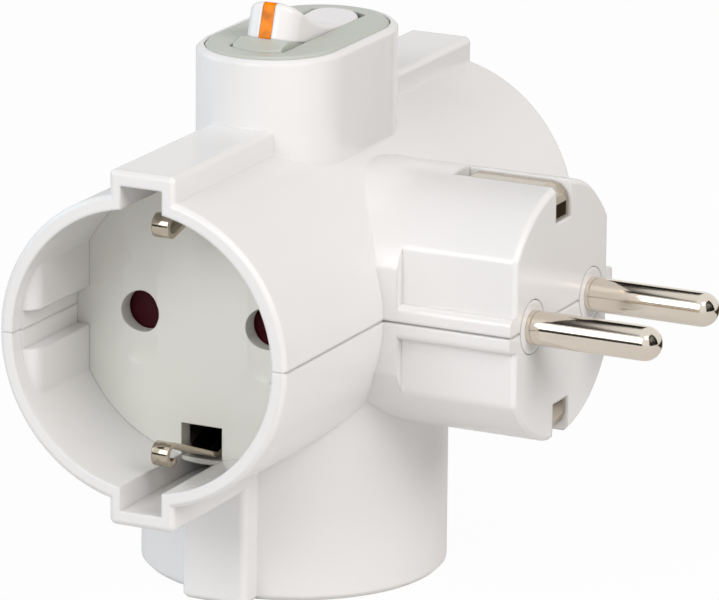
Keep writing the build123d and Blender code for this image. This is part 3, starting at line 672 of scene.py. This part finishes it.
def strip_tree():
    """Bent strip along a path, with rounded bends and edges, that narrows to its rolled tips."""
    tree, entry, leave = shape_tree(
        "Earth Strip", ("Width", "Tip Width", "Thickness", "Bend", "Taper Start", "Taper End"))
    given = entry.outputs
    path = add_node(tree, "GeometryNodeFilletCurve", "Rounded bends", {"mode": "POLY"}, Count=7,
                    Limit_Radius=True, Curve=given["Geometry"], Radius=given["Bend"])
    lay = add_node(tree, "GeometryNodeSetCurveNormal", "Lay flat", {"mode": "FREE"},
                   Curve=path.outputs[0], Normal=(1.0, 0.0, 0.0))
    sweep = add_node(tree, "GeometryNodeCurveToMesh", "Sweep", Curve=lay.outputs[0],
                     Profile_Curve=strip_section(tree, given), Fill_Caps=True)
    close_tree(tree, narrow_tips(tree, given, sweep.outputs[0]), entry, leave)
    return tree


def path_curve(name, points):
    """Curve object data with one straight-run spline through the points."""
    curve = bpy.data.curves.new(name, "CURVE")
    curve.dimensions = "3D"
    spline = curve.splines.new("POLY")
    spline.points.add(len(points) - 1)
    for point, place in zip(spline.points, points):
        point.co = (*place, 1.0)
    return curve


def strip_path(sizes, level, tip):
    """Middle line of an earth strip: roll, leg, bar behind the plate, leg and roll."""
    face = tip - sizes.leg
    rear = face - sizes.plate
    leg = [(sizes.shoulder, level), (sizes.window - sizes.thickness / 2, rear), (sizes.window, face)]
    for angle in ROLL_ANGLES:
        turn = math.radians(angle)
        leg.append((sizes.roll_radius - sizes.roll * math.cos(turn), tip + sizes.roll * math.sin(turn)))
    other = [(-across, depth) for across, depth in reversed(leg)]
    return [(0.0, across, depth) for across, depth in other + leg]


class ADAPTER_OT_contacts(bpy.types.Operator):
    """Bend the earth strips and finish the inner brass strips and their carrier"""

    bl_idname = "adapter.contacts"
    bl_label = "Contacts"

    def execute(self, context):
        looks = context.scene.adapter_finish
        brass = metal("contact_brass", looks.brass_colour, tarnish=(0.35, 0.2, 0.07), amount=0.5,
                      stretch=(60, 2500, 2500), gloss=0.28)
        # The strips' plating carries painted shade: its colour is darkened for the dark insides of the sockets and
        # the plug's groove
        nickel = metal("nickel", looks.strip_colour, tarnish=(0.30, 0.22, 0.13), amount=0.6,
                       stretch=(2500, 2500, 80), gloss=0.12)
        carrier = plastic("insulator", looks.insulator_colour, gloss=0.5)
        finish_node(brass, "live_bus", "neutral_bus", "live_strap", "neutral_strap",
                    "centre_terminal", "seesaw_contact")
        finish_node(nickel, "earth_bridge", "plug_earth_clip")
        finish_node(carrier, "contact_carrier", "switch_base", "plunger")
        tree = shared_group("Earth Strip", strip_tree)
        sizes = context.scene.adapter_strips
        for socket, turn in SOCKETS.items():
            node = socket + "_earth_clip"
            local = merged_copy(node, CROSSING, turn)
            depths = [vertex.co.z for vertex in local.vertices]
            level = min(depths) + sizes.thickness / 2
            tip = max(depths) - sizes.thickness / 2 - sizes.roll
            curve = path_curve(node, strip_path(sizes, level, tip))
            mesh = run_tree(
                curve, tree, Width=sizes.width, Tip_Width=sizes.tip_width, Thickness=sizes.thickness,
                Bend=sizes.bend, Taper_Start=tip - sizes.leg / 2, Taper_End=tip - sizes.roll,
                Place=CROSSING, Turn=turn, Material=nickel)
            smooth_faces(mesh, STRIP_CREASE)
            new_piece(socket + "_earth_strip", mesh, nickel, "housing", node)
        return {"FINISHED"}


def turned_mesh(name, outline, centre, segments):
    """Solid turned about a line along X through the centre; outline is (x, radius) pairs."""
    mesh = bpy.data.meshes.new(name)
    shape = bmesh.new()
    rings = []
    for x, radius in outline:
        ring = []
        for step in range(segments):
            angle = 2 * math.pi * step / segments
            ring.append(shape.verts.new((
                x, centre.y + radius * math.cos(angle), centre.z + radius * math.sin(angle))))
        rings.append(ring)
    for low, high in zip(rings, rings[1:]):
        for step in range(segments):
            after = (step + 1) % segments
            shape.faces.new((low[step], low[after], high[after], high[step]))
    shape.faces.new(rings[0])
    shape.faces.new(rings[-1])
    bmesh.ops.recalc_face_normals(shape, faces=shape.faces)
    shape.to_mesh(mesh)
    shape.free()
    smooth_faces(mesh, PIN_CREASE)
    return mesh


class ADAPTER_OT_pins(bpy.types.Operator):
    """Turn the two plug pins with their round tips and riveted heads"""

    bl_idname = "adapter.pins"
    bl_label = "Pins"

    def execute(self, context):
        looks = context.scene.adapter_finish
        sizes = context.scene.adapter_pins
        bright = metal("pin_metal", looks.pin_colour, tarnish=(0.5, 0.4, 0.27), amount=0.30,
                       stretch=(60, 2600, 2600), gloss=0.10)
        face, _, height = PLUG_PINS["pos_m"]
        radius = sizes.radius
        shank = radius - sizes.neck_depth
        for name, side in (("live_pin", -1), ("neutral_pin", 1)):
            low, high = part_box(name)
            outline = [
                (low.x, sizes.head_radius),
                (low.x + sizes.head_length, sizes.head_radius),
                (low.x + sizes.head_length, shank),
                (face, shank),
                (face, radius),
            ]
            tip = high.x - radius
            for step in range(sizes.tip_steps):
                turn = math.pi / 2 * step / sizes.tip_steps
                outline.append((tip + radius * math.sin(turn), radius * math.cos(turn)))
            centre = Vector((0, side * PIN_PITCH / 2, height))
            mesh = turned_mesh(name + "_turned", outline, centre, sizes.segments)
            new_piece(name + "_turned", mesh, bright, "housing", name)
        return {"FINISHED"}


class ADAPTER_OT_switch(bpy.types.Operator):
    """Finish the bezel, the rocker, its lens and the lamp under it"""

    bl_idname = "adapter.switch"
    bl_label = "Switch"

    def execute(self, context):
        looks = context.scene.adapter_finish
        grey = plastic("bezel_grey", looks.bezel_colour, gloss=0.42, grain=0.15, edge_radius=0.4 * MM)
        white = plastic("rocker_white", looks.rocker_colour, gloss=0.22, edge_radius=0.5 * MM)
        # Painted highlight and shade: the lens's deep, fine mottling gives random bright yellow and dark brown
        # patches for the glints in the clear lens
        orange = plastic("lens_orange", looks.lens_colour, gloss=0.16, flow_and_sheen_depth=1.7, flow_and_sheen_size=1.4,
                         edge_radius=0.3 * MM, shine=0.12)
        glass = plastic("lamp_glass", looks.glass_colour, gloss=0.08)
        brown = plastic("resistor_body", looks.resistor_colour, gloss=0.4)
        finish_node(grey, "switch_bezel", "rocker_base")
        finish_node(white, "rocker_cap")
        finish_node(orange, "rocker_lens")
        finish_node(glass, "neon_lamp")
        finish_node(brown, "lamp_resistor")
        return {"FINISHED"}


def area_lamp(name, power, tint, size, spot, target):
    """Soft rectangular lamp that looks at a point."""
    lamp = bpy.data.lights.new(name, "AREA")
    lamp.color = tint
    lamp.shape = "RECTANGLE"
    lamp.size, lamp.size_y = size
    lamp.energy = power
    holder = bpy.data.objects.new(name, lamp)
    bpy.context.scene.collection.objects.link(holder)
    holder.location = spot
    holder.rotation_euler = (Vector(spot) - target).to_track_quat("Z", "Y").to_euler()


def flat_sheet(name, width, height, level, material):
    """Stage object with one level rectangle round its own Z axis."""
    mesh = bpy.data.meshes.new(name)
    x, y = width / 2, height / 2
    mesh.from_pydata([(-x, -y, level), (x, -y, level), (x, y, level), (-x, y, level)], [], [(0, 1, 2, 3)])
    mesh.materials.append(material)
    sheet = bpy.data.objects.new(name, mesh)
    bpy.context.scene.collection.objects.link(sheet)
    return sheet


def matte(name, colour, roughness):
    """Material without gloss, with its tree and its shader."""
    material, tree, shader = start_material(name)
    feed(tree, shader, Base_Color=(*colour, 1.0), Roughness=roughness, Specular_IOR_Level=0.0)
    return material, tree, shader


def dark_card(name, colour, size, spot, target):
    """Card that only shows in the polished metal, turned to a point."""
    material, _, _ = matte(name, colour, roughness=1.0)
    card = flat_sheet(name, *size, 0.0, material)
    facing = (Vector(target) - Vector(spot)).to_track_quat("Z", "Y").to_matrix().to_4x4()
    card.matrix_world = Matrix.Translation(spot) @ facing
    card.visible_camera = card.visible_diffuse = card.visible_shadow = False
    card.visible_transmission = card.visible_volume_scatter = False


def seen_ray(tree, direct, mirrored):
    """Share of white for a ray from the camera and for one that metal or glass sends on."""
    path = tree.nodes.new("ShaderNodeLightPath")
    first = calculate(tree, "MULTIPLY", path.outputs["Is Camera Ray"], direct, "Seen")
    onward = calculate(tree, "MAXIMUM", path.outputs["Is Glossy Ray"], path.outputs["Is Transmission Ray"],
                       "Sent on")
    second = calculate(tree, "MULTIPLY", onward, mirrored, "Seen in metal")
    return calculate(tree, "MAXIMUM", first, second, "White share")


def mix_shaders(tree, label, share, first, second):
    """Mix of two shaders; share is how much the second one counts."""
    mix = add_node(tree, "ShaderNodeMixShader", label)
    for value, target in zip((share, first, second), mix.inputs):
        join(tree, value, target)
    return mix.outputs[0]


def floor_material(colour):
    """Pale floor that reads as white and keeps a faint shadow."""
    material, tree, shader = matte("stage_floor", colour, roughness=0.9)
    glow = add_node(tree, "ShaderNodeEmission", "White", Strength=1.0)
    white = seen_ray(tree, FLOOR_WHITE, FLOOR_IN_METAL)
    top = mix_shaders(tree, "Seen or lit", white, shader.outputs[0], glow.outputs[0])
    # From below the floor is clear, so that the bottom socket can be looked at
    below = add_node(tree, "ShaderNodeNewGeometry", "Side").outputs["Backfacing"]
    clear = add_node(tree, "ShaderNodeBsdfTransparent", "Clear")
    both = mix_shaders(tree, "Two sides", below, top, clear.outputs[0])
    feed(tree, tree.nodes["Material Output"], Surface=both)
    return material


def light_world(strength, tint):
    """Even surroundings: white where they are seen, softer and warmer as light."""
    world = bpy.data.worlds.new("stage_world")
    bpy.context.scene.world = world
    world.use_nodes = True
    tree = world.node_tree
    light = tuple(strength * part for part in tint)
    mix = add_node(tree, "ShaderNodeMix", "Seen or light", {"data_type": "RGBA"},
                   Factor=seen_ray(tree, direct=1.0, mirrored=1.0), A=(*light, 1.0), B=(1.0, 1.0, 1.0, 1.0))
    feed(tree, tree.nodes["Background"], Color=mix.outputs["Result"], Strength=1.0)


def photo_camera(stage):
    """Camera at the photo's angle, looking at the crossing of the barrels."""
    turn, rise = stage.azimuth, stage.elevation
    back = Vector((math.sin(turn) * math.cos(rise), -math.cos(turn) * math.cos(rise), math.sin(rise)))
    right = Vector((math.cos(turn), math.sin(turn), 0))
    up = back.cross(right)
    facing = Matrix((right, up, back)).transposed() @ Matrix.Rotation(stage.roll, 3, "Z")
    lens = bpy.data.cameras.new("photo_camera")
    lens.sensor_fit = "HORIZONTAL"
    lens.sensor_width = SENSOR_WIDTH
    lens.lens = stage.lens
    lens.shift_x, lens.shift_y = stage.shift
    lens.clip_start, lens.clip_end = CLIP_START, CLIP_END
    camera = bpy.data.objects.new("photo_camera", lens)
    bpy.context.scene.collection.objects.link(camera)
    camera.matrix_world = Matrix.Translation(CROSSING + back * stage.distance) @ facing.to_4x4()
    return camera


class ADAPTER_OT_stage(bpy.types.Operator):
    """Set out the floor, the lamps, the cards and the camera"""

    bl_idname = "adapter.stage"
    bl_label = "Stage"

    def execute(self, context):
        scene = context.scene
        stage = scene.adapter_stage
        level = cad_box[0].z - FLOOR_GAP
        pale = floor_material(stage.floor_colour)
        flat_sheet("stage_floor", stage.floor_size, stage.floor_size, level, pale)
        light_world(stage.world_light, stage.world_tint)
        for name, (power, tint, size, spot) in LAMPS.items():
            area_lamp(name, getattr(stage, power), tint, size, spot, CROSSING)
        for name, (colour, size, spot, target) in CARDS.items():
            dark_card(name, colour, size, spot, target)
        scene.camera = photo_camera(stage)
        scene.view_settings.view_transform = "Standard"
        return {"FINISHED"}


class VIEW3D_PT_adapter(bpy.types.Panel):
    """Buttons and sizes of the adapter's looks"""

    bl_label = "Multi Socket Adapter"
    bl_space_type = "VIEW_3D"
    bl_region_type = "UI"
    bl_category = "Adapter"

    def draw(self, context):
        layout = self.layout
        for step in STEPS:
            layout.operator(step.bl_idname)
        for name, group in GROUPS.items():
            box = layout.box()
            for prop in group.__annotations__:
                box.prop(getattr(context.scene, name), prop)


# Property groups by the scene's name for each
GROUPS = {
    "adapter_finish": AdapterFinish,
    "adapter_pins": AdapterPins,
    "adapter_strips": AdapterStrips,
    "adapter_recess": AdapterRecess,
    "adapter_stage": AdapterStage,
}
STEPS = (ADAPTER_OT_housing, ADAPTER_OT_sockets, ADAPTER_OT_contacts, ADAPTER_OT_pins,
         ADAPTER_OT_switch, ADAPTER_OT_stage)
CLASSES = (*GROUPS.values(), *STEPS, VIEW3D_PT_adapter)


def register():
    """Register the classes and hang the property groups on the scene."""
    for item in CLASSES:
        bpy.utils.register_class(item)
    for name, group in GROUPS.items():
        setattr(bpy.types.Scene, name, bpy.props.PointerProperty(type=group))


def unregister():
    """Take the property groups and classes away again."""
    for name in reversed(GROUPS):
        delattr(bpy.types.Scene, name)
    for item in reversed(CLASSES):
        bpy.utils.unregister_class(item)


def main():
    """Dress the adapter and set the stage."""
    register()
    bpy.ops.adapter.housing()
    bpy.ops.adapter.sockets()
    bpy.ops.adapter.contacts()
    bpy.ops.adapter.pins()
    bpy.ops.adapter.switch()
    bpy.ops.adapter.stage()


if __name__ == "__main__":
    main()
